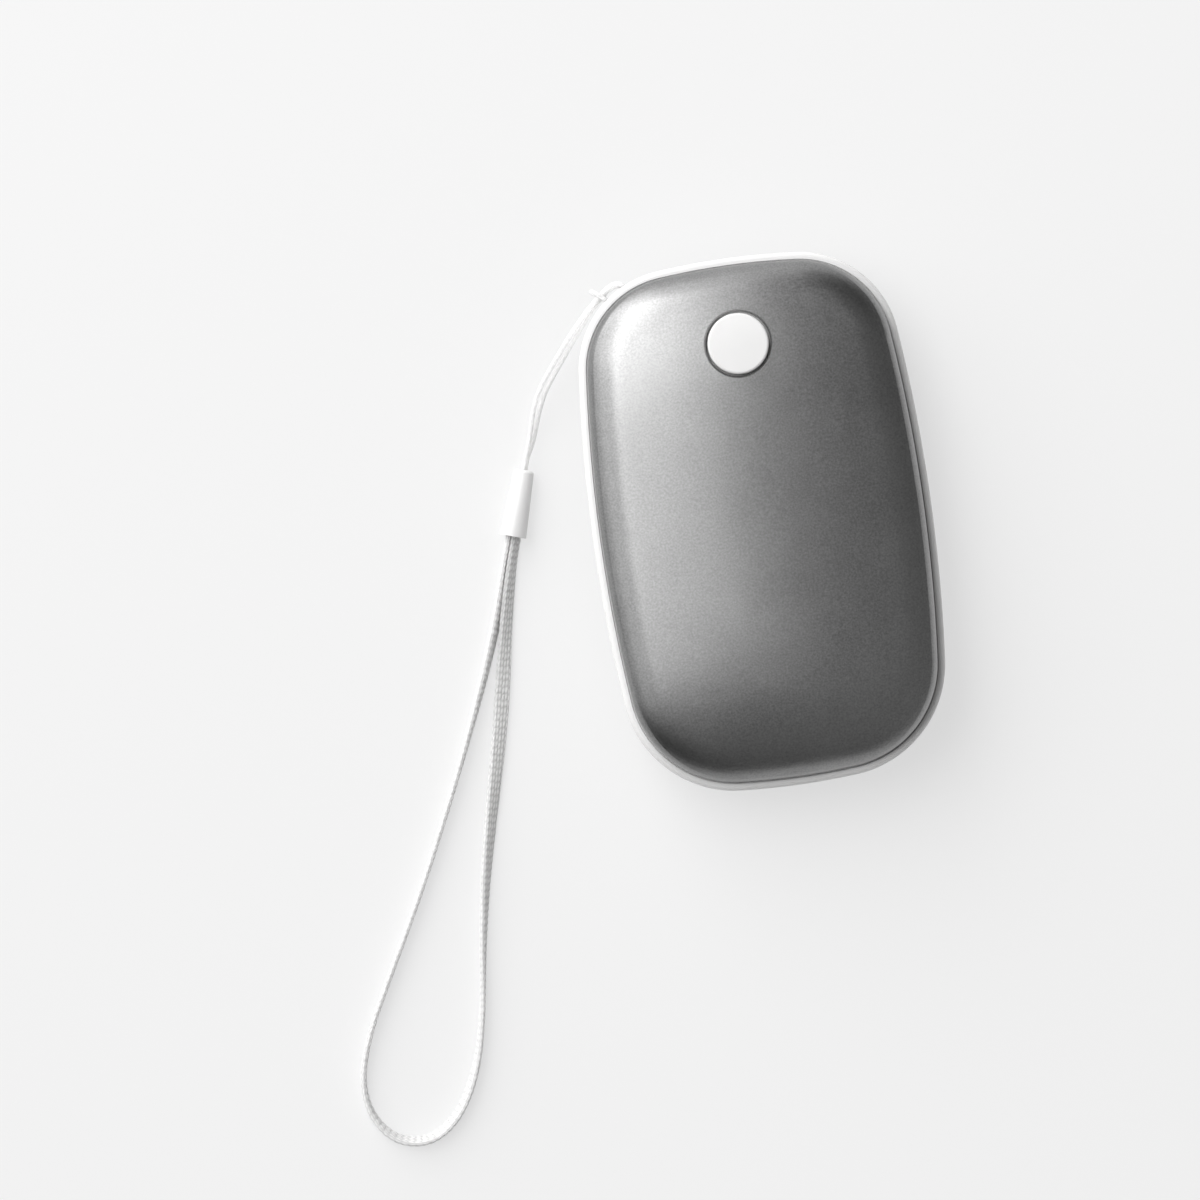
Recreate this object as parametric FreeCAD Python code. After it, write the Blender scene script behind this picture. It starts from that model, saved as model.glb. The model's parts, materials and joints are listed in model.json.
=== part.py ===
import FreeCAD, Part
import math
import os
from FreeCAD import Vector

# A rechargeable hand warmer: two crowned aluminium covers on a white frame, a push
# button in the front cover, two round cells on a tray, a charging board at the
# button end and a woven wrist strap tied to the corner of the frame.
# Millimetres. The warmer lies on its back cover with the front cover up. The origin
# is the middle of the flat land that it lies on, +Z is up through the front cover
# and +Y points to the end with the button and the sockets.

# Body outline, seen from the front
body_length = 100.0
body_width = 64.0
body_thickness = 26.0
side_bow_radius = 304.0
end_bow_radius = 138.0
corner_radius = 19.0
foot_corner_radius = 21.2

# White frame between the covers
frame_height = 9.0
rim_width = 1.3
rim_round = 0.9
seat_depth = 0.6
lip_wall = 1.3
lip_height = 0.9
lip_gap = 0.15
boss_radius = 2.6
boss_front_place = 12.0
boss_back_place = -26.0

# Crowned covers
cover_wall = 0.9
cover_gap = 0.3
side_crown_share = 0.306
end_crown_share = 0.68
roll_share = 0.47
side_power = 2
end_power = 6
roll_power = 3
roll_width = 9.0
crown_rows = 41
crown_columns = 61
slope_step = 0.01
edge_round = 3.0
rest_land_depth = 0.4
button_hole_chamfer = 0.35

# Push button and its guide
button_diameter = 11.5
button_gap = 0.35
button_from_end = 16.5
button_proud = 0.15
button_edge_round = 0.45
button_flange_overlap = 0.7
button_flange_thickness = 1.2
button_flange_gap = 0.1
button_stem_radius = 1.9
button_rib_thickness = 0.9
button_rib_reach = 5.2
guide_gap = 0.2
guide_wall = 1.3
guide_skirt = 0.9
glue_gap = 0.05

# Tactile switch under the button
switch_width = 6.0
switch_base_height = 3.5
switch_floor = 1.2
switch_height = 7.0
switch_plate_thickness = 0.25
switch_plate_leg = 1.1
switch_well_radius = 2.35
plunger_radius = 1.7
plunger_collar_radius = 2.1
plunger_collar_height = 0.8
plunger_gap = 0.15
dome_thickness = 0.12
dome_gap = 0.05

# Cells, contact tabs and tray
cell_end_room = 8.0
electronics_bay = 27.0
cell_cover_room = 4.0
cell_gap = 0.3
cell_edge_round = 0.7
cell_groove_place = 3.2
cell_groove_depth = 0.4
cell_groove_width = 1.4
cell_cap_radius = 3.1
cell_cap_height = 0.6
tab_thickness = 0.2
tab_width = 7.0
tab_gap = 0.05
tray_gap = 0.15
tray_wall = 1.1
tray_flange = 1.6
tray_clearance = 0.3
shelf_thickness = 1.8
screw_head_radius = 1.9
screw_head_height = 1.3
screw_head_round = 0.5
screw_radius = 0.95
screw_gap = 0.05
screw_grip = 4.2
screw_bottom_room = 0.4
screw_clearance = 0.2

# Circuit board and what stands on it
board_width = 40.0
board_thickness = 1.2
board_gap = 0.8
board_lip_gap = 0.4
board_screw_from_side = 2.8
board_screw_from_edge = 2.8
chip_length = 5.0
chip_width = 4.0
chip_height = 1.2
chip_x = 11.0
chip_from_edge = 4.0
inductor_size = 6.6
inductor_height = 3.2
inductor_chamfer = 1.2
inductor_x = -11.5
inductor_from_edge = 10.2
transistor_length = 3.0
transistor_height = 0.9
transistor_pitch = 4.2
transistor_x = -11.5
transistor_from_edge = 3.6
capacitor_length = 2.0
capacitor_width = 1.25
capacitor_height = 1.1
capacitor_pitch = 1.9
capacitor_count = 4
capacitor_x = 0.0
capacitor_from_edge = 1.6
led_length = 1.6
led_width = 0.8
led_height = 0.7
led_offset = 5.0

# Sockets at the button end
port_recess = 1.4
port_gap = 0.2
port_corner = 0.5
port_chamfer = 0.3
usb_a_width = 13.1
usb_a_height = 5.7
usb_a_length = 14.0
usb_a_place_share = 0.3375
usb_a_block = 4.6
usb_a_tongue_side_gap = 0.7
usb_a_tongue_thickness = 1.84
usb_a_tongue_drop = 0.75
usb_a_tongue_setback = 0.6
usb_a_contact_count = 4
usb_a_contact_width = 1.0
usb_a_contact_pitch = 2.3
usb_a_contact_thickness = 0.15
usb_c_width = 8.94
usb_c_height = 3.16
usb_c_length = 7.35
usb_c_place_share = -0.2656
usb_c_block = 2.2
usb_c_tongue_side_gap = 0.825
usb_c_tongue_thickness = 0.7
usb_c_tongue_setback = 0.5
shell_wall = 0.3
insert_gap = 0.05

# Heating films and foam pads behind the covers
heater_inset = 12.0
heater_thickness = 0.3
heater_button_gap = 0.8
pad_inset = 13.0
pad_gap = 0.1
pad_depth = 4.0

# Lanyard eye in the corner of the frame, and the thin cord through it
eye_angle = 121.65
eye_pitch = 4.1
eye_hole_width = 1.6
eye_hole_height = 3.2
eye_bridge = 2.2
eye_channel = 1.5
eye_wall = 1.2
eye_round = 0.6
cord_diameter = 0.9
strand_gap = 0.3
hitch_stand = 1.35
hitch_reach = 3.0
hitch_rise = 1.75
hitch_shoulder = 0.9
hitch_mouth = 0.4
hitch_cross = 2.7

# Thin cord from the hitch to the ferrule: X, Y and height of the middle of the two strands
strand_route = [
    (-29.2, 41.2, 11.2),
    (-33.4, 35.8, 8.6),
    (-36.9, 31.0, 6.4),
    (-39.3, 26.1, 4.3),
    (-41.1, 21.2, 2.9),
]
strand_turn_shares = [0.8, 0.6, 0.4, 0.2, 0.0]

# White ferrule that joins the thin cord to the strap
ferrule_top = (-43.08, 16.17)
ferrule_mouth = (-46.98, 3.93)
ferrule_top_radius = 1.8
ferrule_mouth_radius = 2.5
ferrule_top_round = 1.0
ferrule_mouth_round = 0.3
ferrule_lift = 0.1
strand_lead = 2.6
strap_lead = 6.0

# Flat wrist strap, standing on its edge, from one side of the ferrule to the other
strap_width = 2.8
strap_thickness = 1.2
strap_side_gap = 0.25
strap_lift = 0.05
strap_route = [
    (-52.9, -13.2),
    (-57.6, -25.2),
    (-63.2, -38.1),
    (-68.9, -50.4),
    (-75.0, -62.8),
    (-81.7, -75.2),
    (-87.6, -86.4),
    (-90.2, -95.6),
    (-88.8, -102.6),
    (-84.2, -107.3),
    (-77.8, -107.7),
    (-72.2, -103.4),
    (-68.0, -95.6),
    (-65.3, -85.0),
    (-63.7, -73.0),
    (-61.5, -60.6),
    (-58.7, -48.6),
    (-55.8, -37.0),
    (-53.2, -25.4),
    (-50.9, -13.4),
]

# One overrun for every cut
overrun = 2.0
# An arc of a cord takes this share of the shorter run beside it
arc_share = 0.45
# A fillet takes at most this share of the wall that it stands on
round_share = 0.9
# The covers' edges have turned half of the way before their fillet, so it takes less wall
edge_share = 1.8

# Worked out from the sizes above
half_length = body_length / 2
half_width = body_width / 2
mid_height = body_thickness / 2
cover_inset = rim_width + cover_gap
lip_outer = cover_inset + cover_wall + lip_gap
lip_inner = lip_outer + lip_wall
frame_top = mid_height + frame_height / 2
seat_height = frame_top - seat_depth
frame_bottom = body_thickness - frame_top
seat_floor = body_thickness - seat_height
cover_rise = body_thickness - frame_top
button_y = half_length - button_from_end
button_radius = button_diameter / 2
button_hole_radius = button_radius + button_gap
flange_radius = button_hole_radius + button_flange_overlap
guide_radius = flange_radius + guide_gap
guide_outer_radius = guide_radius + guide_wall
cell_start = cell_end_room - half_length
cell_length = body_length - cell_end_room - electronics_bay
cell_end = cell_start + cell_length
cell_radius = mid_height - cell_cover_room
cell_x = cell_radius + cell_gap / 2
tray_bore = cell_radius + tray_gap
tray_radius = tray_bore + tray_wall
tray_start = cell_start - tab_thickness - tab_gap - tray_wall
tray_end = cell_end + tab_thickness + tab_gap + tray_wall
flange_top = mid_height + tray_flange / 2
flange_bottom = mid_height - tray_flange / 2
board_top = mid_height - usb_a_height / 2
board_bottom = board_top - board_thickness
board_start = tray_end + board_gap
port_face = half_length - port_recess
usb_a_x = usb_a_place_share * half_width
usb_c_x = usb_c_place_share * half_width
switch_top = board_top + switch_base_height
stem_foot = board_top + switch_height
board_screw_x = board_width / 2 - board_screw_from_side
board_screw_y = board_start + board_screw_from_edge
usb_a_tongue_width = usb_a_width - 2 * (shell_wall + usb_a_tongue_side_gap)
usb_c_tongue_width = usb_c_width - 2 * (shell_wall + usb_c_tongue_side_gap)
strand_step = (cord_diameter + strand_gap) / 2


def arc_centres(radius):
    """Centres of the right side arc, an end arc and the corner arc of this radius between them."""
    side = Vector(half_width - side_bow_radius, 0, 0)
    end = Vector(0, half_length - end_bow_radius, 0)
    side_reach = side_bow_radius - radius
    end_reach = end_bow_radius - radius
    gap = end - side
    along = (side_reach ** 2 - end_reach ** 2 + gap.Length ** 2) / (2 * gap.Length)
    across = math.sqrt(side_reach ** 2 - along ** 2)
    direction = gap / gap.Length
    square = Vector(-direction.y, direction.x, 0)
    return side, end, side + direction * along + square * across


def corner_points(radius, inset):
    """Start, middle and end of a corner arc, from the right side round to the end."""
    side, end, corner = arc_centres(radius)
    to_side = (corner - side).normalize()
    to_end = (corner - end).normalize()
    start = side + to_side * (side_bow_radius - inset)
    middle = corner + (to_side + to_end).normalize() * (radius - inset)
    return start, middle, end + to_end * (end_bow_radius - inset)


def outline(inset, height):
    """The body's outline, drawn in by inset: two sides, two ends and four corners, all arcs."""
    def at(point, across, along):
        return Vector(point.x * across, point.y * along, height)

    side_middle = Vector(half_width - inset, 0, 0)
    end_middle = Vector(0, half_length - inset, 0)
    head = corner_points(corner_radius, inset)
    foot = corner_points(foot_corner_radius, inset)
    arcs = []
    for across in (1, -1):
        arcs.append((at(foot[0], across, -1), at(side_middle, across, 1), at(head[0], across, 1)))
        arcs.append([at(point, across, 1) for point in head])
        arcs.append([at(point, across, -1) for point in foot])
    for along, corner in ((1, head), (-1, foot)):
        arcs.append((at(corner[2], 1, along), at(end_middle, 1, along), at(corner[2], -1, along)))
    edges = [Part.Arc(*arc).toShape() for arc in arcs]
    return Part.Wire(Part.__sortEdges__(edges))


def boss_places():
    """Four screw places beside the long walls, with room for a screw head."""
    places = []
    for y in (boss_back_place, boss_front_place):
        bow = side_bow_radius - lip_inner
        wall = half_width - side_bow_radius + math.sqrt(bow ** 2 - y ** 2)
        x = wall - screw_head_radius - screw_clearance
        places += [(-x, y), (x, y)]
    return places


def prism(inset, low, high):
    return Part.Face(outline(inset, low)).extrude(Vector(0, 0, high - low))


def ring(outer_inset, inner_inset, low, high):
    return prism(outer_inset, low, high).cut(prism(inner_inset, low - overrun, high + overrun))


def box(low, high):
    size = high - low
    return Part.makeBox(size.x, size.y, size.z, low)


def cylinder(radius, x, y, low, high):
    return Part.makeCylinder(radius, high - low, Vector(x, y, low))


def rounded_bar(width, height, corner, x, z, front, back):
    """A bar along Y with rounded corners, width along X and height along Z."""
    bar = box(Vector(x - width / 2, back, z - height / 2), Vector(x + width / 2, front, z + height / 2))
    edges = [e for e in bar.Edges if e.BoundBox.YLength > e.BoundBox.XLength + e.BoundBox.ZLength]
    return bar.makeFillet(corner, edges)


def flipped(shape):
    """The same shape on the other side of the middle plane."""
    return shape.mirror(Vector(0, 0, mid_height), Vector(0, 0, 1))


def inside_outline(x, y):
    """How far inside the outline a point lies."""
    radius = corner_radius if y > 0 else foot_corner_radius
    side, end, corner = arc_centres(radius)
    point = Vector(abs(x), abs(y), 0)
    reach = point - corner
    start = math.atan2(corner.y - side.y, corner.x - side.x)
    finish = math.atan2(corner.y - end.y, corner.x - end.x)
    if start < math.atan2(reach.y, reach.x) < finish:
        return radius - reach.Length
    to_side = side_bow_radius - point.distanceToPoint(side)
    to_end = end_bow_radius - point.distanceToPoint(end)
    return min(to_side, to_end)


def crown_height(x, y):
    """The front cover's outside: crowned across and along, and rolled down towards its edge."""
    near_share = max(0, 1 - inside_outline(x, y) / roll_width)
    fall_share = side_crown_share * abs(x / half_width) ** side_power
    fall_share += end_crown_share * abs(y / half_length) ** end_power
    fall_share += roll_share * near_share ** roll_power
    return body_thickness - cover_rise * fall_share


def lowered_height(x, y, drop):
    """The height of a surface that lies drop under the crown, measured square to it."""
    height = crown_height(x, y)
    across = (crown_height(x + slope_step, y) - height) / slope_step
    along = (crown_height(x, y + slope_step) - height) / slope_step
    return height - drop * math.sqrt(1 + across ** 2 + along ** 2)


def even_steps(count, reach):
    return [reach * (2 * i / (count - 1) - 1) for i in range(count)]


def crown_block(drop):
    """Everything under the crown of the front cover, lowered by drop."""
    xs = even_steps(crown_rows, half_width + overrun)
    ys = even_steps(crown_columns, half_length + overrun)
    surface = Part.BSplineSurface()
    surface.interpolate([[Vector(x, y, lowered_height(x, y, drop)) for y in ys] for x in xs])
    return surface.toShape().extrude(Vector(0, 0, -body_thickness))


def dome(inset, drop, low):
    """A crowned block with a round edge, from the height low up to the lowered crown."""
    block = prism(inset, low, body_thickness + overrun).common(crown_block(drop)).Solids[0]
    rim = []
    for edge in block.Edges:
        middle = edge.valueAt((edge.FirstParameter + edge.LastParameter) / 2)
        on_crown = abs(lowered_height(middle.x, middle.y, drop) - middle.z) < glue_gap
        if on_crown:
            rim.append(edge)
    lowest = min(edge.BoundBox.ZMin for edge in rim)
    radius = min(edge_round - (inset - cover_inset), edge_share * (lowest - low))
    return block.makeFillet(radius, rim)


def cover(lift):
    """A cover's shell, its crown raised by lift so that its top can be cut flat."""
    outer = dome(cover_inset, -lift, seat_height)
    inner = dome(cover_inset + cover_wall, cover_wall - lift, seat_height - overrun)
    land = prism(0, 0, body_thickness)
    inner_land = prism(0, 0, body_thickness - cover_wall)
    return outer.common(land).cut(inner.common(inner_land))


def front_cover():
    shell = cover(0)
    hole = cylinder(button_hole_radius, 0, button_y, mid_height, body_thickness + overrun)
    shell = shell.cut(hole)
    mouth = [e for e in shell.Edges if on_button_edge(e)]
    return shell.makeChamfer(button_hole_chamfer, mouth)


def on_button_edge(edge):
    """True for the outer edge of the hole that the button comes through."""
    middle = edge.valueAt((edge.FirstParameter + edge.LastParameter) / 2)
    reach = math.hypot(middle.x, middle.y - button_y)
    on_hole = abs(reach - button_hole_radius) < glue_gap
    return on_hole and abs(middle.z - crown_height(middle.x, middle.y)) < glue_gap


def back_cover():
    return flipped(cover(rest_land_depth))


def eye_point(along, out, height):
    """A point beside the lanyard eye: along the rim, out from it, and above the middle plane."""
    corner = arc_centres(corner_radius)[2]
    angle = math.radians(eye_angle)
    outward = Vector(math.cos(angle), math.sin(angle), 0)
    tangent = Vector(-outward.y, outward.x, 0)
    start = Vector(-corner.x, corner.y, mid_height + height)
    return start + outward * (corner_radius + out) + tangent * along


def eye_bar(along_low, along_high, out_low, out_high, height):
    """A bar in the eye's own directions, centred on the middle plane."""
    corners = [(along_low, out_low), (along_high, out_low), (along_high, out_high), (along_low, out_high)]
    points = [eye_point(along, out, -height / 2) for along, out in corners]
    face = Part.Face(Part.makePolygon(points + points[:1]))
    return face.extrude(Vector(0, 0, height))


def eye_cuts():
    """Two holes through the rim, joined behind the bridge that the cord loops round."""
    depth = eye_bridge + eye_channel
    reach = eye_pitch / 2 + eye_hole_width / 2
    cuts = eye_bar(-reach, reach, -depth, -eye_bridge, eye_hole_height)
    for side in (-1, 1):
        middle = side * eye_pitch / 2
        low = middle - eye_hole_width / 2
        hole = eye_bar(low, low + eye_hole_width, -depth, overrun, eye_hole_height)
        cuts = cuts.fuse(hole)
    cuts = cuts.removeSplitter()
    bridge = [eye_point(side * (eye_pitch - eye_hole_width) / 2, -eye_bridge, 0) for side in (-1, 1)]
    edges = [e for e in cuts.Edges if min(e.CenterOfMass.distanceToPoint(p) for p in bridge) < glue_gap]
    return cuts.makeFillet(eye_round, edges)


def eye_block():
    """The thick stretch of frame behind the eye."""
    reach = eye_pitch / 2 + eye_hole_width / 2 + eye_wall
    depth = eye_bridge + eye_channel + eye_wall
    return eye_bar(-reach, reach, -depth, -lip_outer, eye_hole_height + 2 * eye_wall)


def port_windows():
    """Openings in the frame for the two sockets."""
    wide = rounded_bar(usb_a_width + 2 * port_gap, usb_a_height + 2 * port_gap, port_corner,
                       usb_a_x, board_top + usb_a_height / 2, half_length + overrun, board_start)
    corner = round_share * (usb_c_height / 2 + port_gap)
    small = rounded_bar(usb_c_width + 2 * port_gap, usb_c_height + 2 * port_gap, corner,
                        usb_c_x, board_top + usb_c_height / 2, half_length + overrun, board_start)
    return wide.fuse(small)


def mid_frame():
    band = prism(0, frame_bottom, frame_top)
    rims = [e for e in band.Edges if e.BoundBox.ZLength < glue_gap]
    band = band.makeFillet(min(rim_round, round_share * rim_width), rims)
    seat = prism(rim_width, seat_height, frame_top + overrun)
    band = band.cut(seat).cut(flipped(seat))
    lips = ring(lip_outer, lip_inner, seat_floor - lip_height, seat_height + lip_height)
    frame = band.fuse(lips).cut(prism(lip_inner, 0, body_thickness))
    for x, y in boss_places():
        boss = cylinder(boss_radius, x, y, seat_floor, flange_bottom)
        frame = frame.fuse(boss)
    frame = frame.fuse(eye_block())
    for x, y in boss_places():
        frame = frame.cut(cylinder(screw_radius + screw_gap, x, y, 0, body_thickness))
    frame = frame.cut(eye_cuts()).cut(port_windows()).removeSplitter()
    return frame.makeChamfer(port_chamfer, [e for e in frame.Edges if on_window_edge(e)])


def on_window_edge(edge):
    """True for the edges of the sockets' windows on the outside of the frame."""
    places = [edge.FirstParameter, (edge.FirstParameter + edge.LastParameter) / 2, edge.LastParameter]
    points = [edge.valueAt(place) for place in places]
    on_outside = all(abs(inside_outline(point.x, point.y)) < glue_gap for point in points)
    heights = [abs(point.z - mid_height) for point in points]
    in_windows = min(point.y for point in points) > button_y
    for x, width in ((usb_a_x, usb_a_width), (usb_c_x, usb_c_width)):
        reaches = [abs(point.x - x) for point in points]
        if max(reaches) < width / 2 + 2 * port_gap:
            return on_outside and in_windows and max(heights) < frame_height / 2 - rim_round
    return False


def flange_height():
    """Top of the button's flange, clear of the lowest part of the cover over it."""
    lowest = lowered_height(0, button_y + flange_radius, cover_wall)
    return lowest - button_flange_gap


def power_button():
    top = flange_height()
    bottom = top - button_flange_thickness
    cap = cylinder(button_radius, 0, button_y, bottom, body_thickness).common(crown_block(-button_proud))
    edges = [e for e in cap.Edges if e.BoundBox.ZMin > top and e.Length > button_diameter]
    cap = cap.makeFillet(button_edge_round, edges)
    flange = cylinder(flange_radius, 0, button_y, bottom, top)
    stem = cylinder(button_stem_radius, 0, button_y, stem_foot, top)
    button = cap.fuse(flange).fuse(stem)
    for turn in (0, 90):
        rib = rib_profile(bottom)
        rib.rotate(Vector(0, button_y, 0), Vector(0, 0, 1), turn)
        button = button.fuse(rib)
    return button.removeSplitter()


def rib_profile(top):
    """One of the two crossed ribs that stiffen the stem, tapered towards its foot."""
    foot = stem_foot + (top - stem_foot) / 2
    back = button_y - button_rib_thickness / 2
    points = [
        Vector(-button_rib_reach, back, top),
        Vector(button_rib_reach, back, top),
        Vector(button_stem_radius, back, foot),
        Vector(-button_stem_radius, back, foot),
    ]
    return Part.Face(Part.makePolygon(points + points[:1])).extrude(Vector(0, button_rib_thickness, 0))


def button_guide():
    """The ring under the front cover that the button's flange slides in."""
    low = flange_height() - button_flange_thickness - guide_skirt
    tube = cylinder(guide_outer_radius, 0, button_y, low, body_thickness)
    tube = tube.common(crown_block(cover_wall + glue_gap))
    return tube.cut(cylinder(guide_radius, 0, button_y, low - overrun, body_thickness + overrun))


def switch_base():
    reach = switch_width / 2
    low = Vector(-reach, button_y - reach, board_top)
    base = box(low, Vector(reach, button_y + reach, switch_top))
    well = cylinder(switch_well_radius, 0, button_y, board_top + switch_floor, switch_top + overrun)
    return base.cut(well)


def plunger_foot():
    return switch_top - plunger_gap - plunger_collar_height


def switch_dome():
    """The snap dome that springs the plunger back: a thin cap on the floor of the base."""
    floor = board_top + switch_floor
    rise = plunger_foot() - dome_gap - floor
    reach = plunger_collar_radius
    outer_radius = (reach ** 2 + rise ** 2) / (2 * rise)
    centre = Vector(0, button_y, floor + rise - outer_radius)
    outer = Part.makeSphere(outer_radius, centre)
    inner = Part.makeSphere(outer_radius - dome_thickness, centre)
    return outer.cut(inner).common(cylinder(switch_width, 0, button_y, floor, switch_top))


def switch_plunger():
    foot = plunger_foot()
    shaft = cylinder(plunger_radius, 0, button_y, foot, stem_foot)
    collar = cylinder(plunger_collar_radius, 0, button_y, foot, foot + plunger_collar_height)
    return shaft.fuse(collar).removeSplitter()


def switch_plate():
    """The steel plate over the switch, with two legs bent down beside its base."""
    reach = switch_width / 2
    low = Vector(-reach, button_y - reach, switch_top)
    plate = box(low, Vector(reach, button_y + reach, switch_top + switch_plate_thickness))
    for side in (-1, 1):
        edge = button_y + side * reach
        face = edge + side * switch_plate_thickness
        near = Vector(-switch_plate_leg, min(edge, face), board_top)
        far = Vector(switch_plate_leg, max(edge, face), switch_top + switch_plate_thickness)
        plate = plate.fuse(box(near, far))
    hole = cylinder(plunger_radius + plunger_gap, 0, button_y, board_top, switch_top + overrun)
    return plate.cut(hole).removeSplitter()


def battery_cell(side):
    """A round cell: rolled edges, the groove under the crimp and the raised plus cap."""
    shoulder = cell_end - cell_cap_height
    groove = shoulder - cell_groove_place
    waist = cell_radius - cell_groove_depth
    profile = [
        (0, cell_start),
        (cell_radius - cell_edge_round, cell_start),
        (cell_radius, cell_start + cell_edge_round),
        (cell_radius, groove - cell_groove_width / 2),
        (waist, groove),
        (cell_radius, groove + cell_groove_width / 2),
        (cell_radius, shoulder - cell_edge_round),
        (cell_radius - cell_edge_round, shoulder),
        (cell_cap_radius, shoulder),
        (cell_cap_radius, cell_end),
        (0, cell_end),
    ]
    points = [Vector(radius, along, 0) for radius, along in profile]
    face = Part.Face(Part.makePolygon(points + points[:1]))
    cell = face.revolve(Vector(0, 0, 0), Vector(0, 1, 0), 360)
    cell.translate(Vector(side * cell_x, 0, mid_height))
    return cell


def tab_strip(near, far):
    """A nickel strip that joins both cells at one end."""
    reach = cell_x + cell_cap_radius
    low = Vector(-reach, near, mid_height - tab_width / 2)
    strip = box(low, Vector(reach, far, mid_height + tab_width / 2))
    edges = [e for e in strip.Edges if e.BoundBox.YLength > e.BoundBox.XLength + e.BoundBox.ZLength]
    return strip.makeFillet(cell_cap_height, edges)


def plus_tab():
    return tab_strip(cell_end, cell_end + tab_thickness)


def minus_tab():
    return tab_strip(cell_start - tab_thickness, cell_start)


def cell_bores(radius, start, end):
    length = end - start
    starts = [Vector(side * cell_x, start, mid_height) for side in (-1, 1)]
    bores = [Part.makeCylinder(radius, length, place, Vector(0, 1, 0)) for place in starts]
    return bores[0].fuse(bores[1])


def tab_room(near):
    """The slot in the tray's middle web that a contact tab lies in."""
    reach = cell_x + cell_cap_radius + tab_gap
    low = Vector(-reach, near, mid_height - tab_width / 2 - tab_gap)
    return box(low, Vector(reach, near + tab_thickness + tab_gap, mid_height + tab_width / 2 + tab_gap))


def web_room():
    """Cuts the web between the cells where it would be thinner than the tray's wall."""
    reach = tray_wall / 2
    top_of_web = mid_height - math.sqrt(tray_bore ** 2 - (cell_x - reach) ** 2)
    low = Vector(-tray_wall, cell_start - tab_thickness - tab_gap, top_of_web)
    return box(low, Vector(tray_wall, cell_end + tab_thickness + tab_gap, body_thickness))


def battery_tray():
    """Twin troughs under the cells, a flange that rests on the frame, and the board's shelf."""
    inset = lip_inner + tray_clearance
    drop = cover_wall + tray_clearance
    cavity = dome(inset, drop, mid_height - tray_flange)
    cavity = cavity.fuse(flipped(dome(inset, drop - rest_land_depth, mid_height - tray_flange)))
    below = box(Vector(-body_width, -body_length, 0), Vector(body_width, body_length, flange_top))
    trough = cell_bores(tray_radius, tray_start, tray_end).common(below)
    flange = box(Vector(-half_width, tray_start, flange_bottom), Vector(half_width, tray_end, flange_top))
    shelf = box(Vector(-board_width / 2, tray_end - tray_wall, board_bottom - shelf_thickness),
                Vector(board_width / 2, half_length, board_bottom))
    tray = trough.fuse(flange).fuse(shelf).common(cavity)
    tab_depth = tab_thickness + tab_gap
    tray = tray.cut(cell_bores(tray_bore, cell_start - tab_depth, cell_end + tab_depth))
    tray = tray.cut(web_room())
    for near in (cell_start - tab_depth, cell_end):
        tray = tray.cut(tab_room(near))
    for x, y in boss_places():
        tray = tray.cut(cylinder(screw_radius + screw_clearance, x, y, 0, body_thickness))
    for side in (-1, 1):
        x = side * board_screw_x
        tray = tray.cut(cylinder(screw_radius + screw_gap, x, board_screw_y, 0, board_top))
    return tray.removeSplitter()


def circuit_board():
    blank = prism(lip_inner + board_lip_gap, board_bottom, board_top)
    far = Vector(board_width / 2, body_length, body_thickness)
    board = blank.common(box(Vector(-board_width / 2, board_start, 0), far))
    for side in (-1, 1):
        x = side * board_screw_x
        board = board.cut(cylinder(screw_radius + screw_clearance, x, board_screw_y, 0, body_thickness))
    return board


def pan_screw(x, y, seat, length):
    """A pan-head screw standing on the height seat."""
    head = cylinder(screw_head_radius, x, y, seat, seat + screw_head_height)
    top = [e for e in head.Edges if e.BoundBox.ZMin > seat + screw_head_height / 2]
    head = head.makeFillet(screw_head_round, top[:1])
    return head.fuse(cylinder(screw_radius, x, y, seat - length, seat)).removeSplitter()


def tray_screws():
    return [pan_screw(x, y, flange_top, screw_grip) for x, y in boss_places()]


def board_screws():
    length = board_thickness + shelf_thickness - screw_bottom_room
    return [pan_screw(side * board_screw_x, board_screw_y, board_top, length) for side in (-1, 1)]


def chip(x, y, length, width, height):
    low = Vector(x - length / 2, y - width / 2, board_top)
    return box(low, Vector(x + length / 2, y + width / 2, board_top + height))


def controller_chip():
    return chip(chip_x, board_start + chip_from_edge, chip_length, chip_width, chip_height)


def power_inductor():
    block = chip(inductor_x, board_start + inductor_from_edge, inductor_size, inductor_size, inductor_height)
    edges = [e for e in block.Edges if e.BoundBox.ZLength > inductor_height / 2]
    return block.makeChamfer(inductor_chamfer, edges)


def switching_transistors():
    y = board_start + transistor_from_edge
    places = [transistor_x - transistor_pitch / 2, transistor_x + transistor_pitch / 2]
    return [chip(x, y, transistor_length, transistor_length, transistor_height) for x in places]


def board_capacitors():
    y = board_start + capacitor_from_edge
    first = capacitor_x - capacitor_pitch * (capacitor_count - 1) / 2
    places = [first + capacitor_pitch * i for i in range(capacitor_count)]
    return [chip(x, y, capacitor_width, capacitor_length, capacitor_height) for x in places]


def status_leds():
    places = [button_y - led_offset, button_y + led_offset]
    return [chip(0, y, led_length, led_width, led_height) for y in places]


def usb_a_shell():
    middle = board_top + usb_a_height / 2
    back = port_face - usb_a_length
    outer = rounded_bar(usb_a_width, usb_a_height, port_corner, usb_a_x, middle, port_face, back)
    width = usb_a_width - 2 * shell_wall
    height = usb_a_height - 2 * shell_wall
    inner = rounded_bar(width, height, port_corner - shell_wall / 2, usb_a_x, middle,
                        port_face + overrun, back - overrun)
    return outer.cut(inner)


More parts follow.
